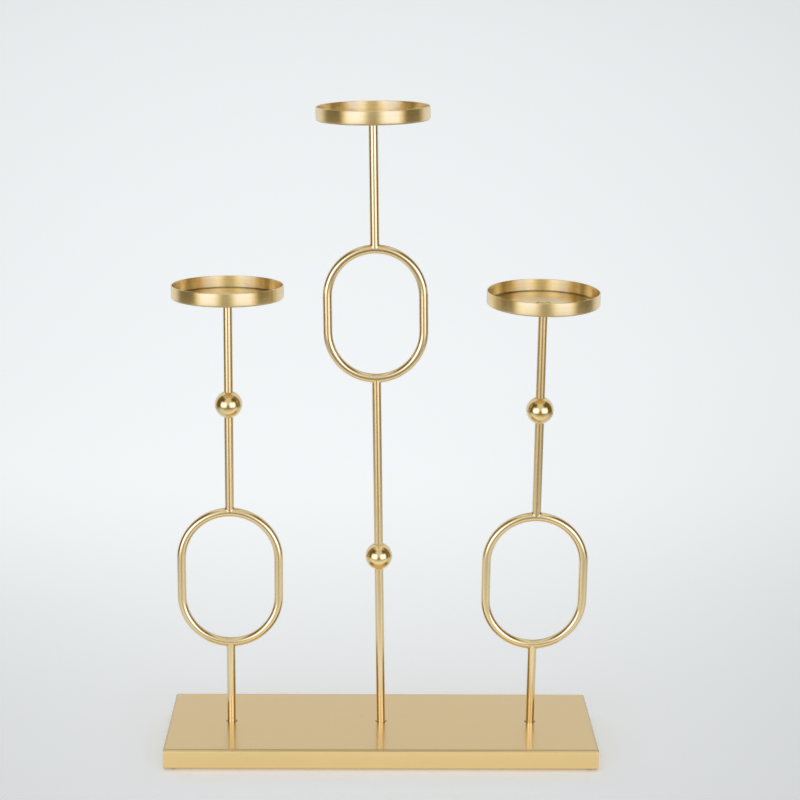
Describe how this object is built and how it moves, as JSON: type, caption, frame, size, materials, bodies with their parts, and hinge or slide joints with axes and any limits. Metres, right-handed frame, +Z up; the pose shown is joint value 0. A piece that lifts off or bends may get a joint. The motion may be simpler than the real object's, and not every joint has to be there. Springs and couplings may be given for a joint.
{
  "type": "candle holder",
  "caption": "Free-standing candle holder: slim upright rods with ball and oval ring details carry round trays for pillar candles above a low rectangular base.",
  "frame": {"origin": "centre of the standing face, on the surface under the four pads", "axes": "+X along the base to the viewer's right, +Y to the back, +Z up; the front faces -Y"},
  "size_m": [0.3, 0.105, 0.4515],
  "materials": {
    "base_gold": "satin gold spray lacquer on sheet steel",
    "rod_gold": "glossy gold plating on steel rod",
    "bead_gold": "polished gold plating on steel",
    "tray_gold": "gold plating over fine turned marks",
    "zinc_steel": "bright zinc plating",
    "pad_foam": "matt closed-cell foam"
  },
  "bodies": {
    "root": {"base_pan": "base_gold", "base_pads": "pad_foam", "foot_washers": "zinc_steel", "foot_screws": "zinc_steel", "left_lower_rod": "rod_gold", "left_ring": "rod_gold", "left_upper_rod": "rod_gold", "left_bead": "bead_gold", "left_tray": "tray_gold", "centre_lower_rod": "rod_gold", "centre_bead": "bead_gold", "centre_ring": "rod_gold", "centre_upper_rod": "rod_gold", "centre_tray": "tray_gold", "right_lower_rod": "rod_gold", "right_ring": "rod_gold", "right_upper_rod": "rod_gold", "right_bead": "bead_gold", "right_tray": "tray_gold", "tray_screws": "bead_gold"}
  },
  "joints": []
}
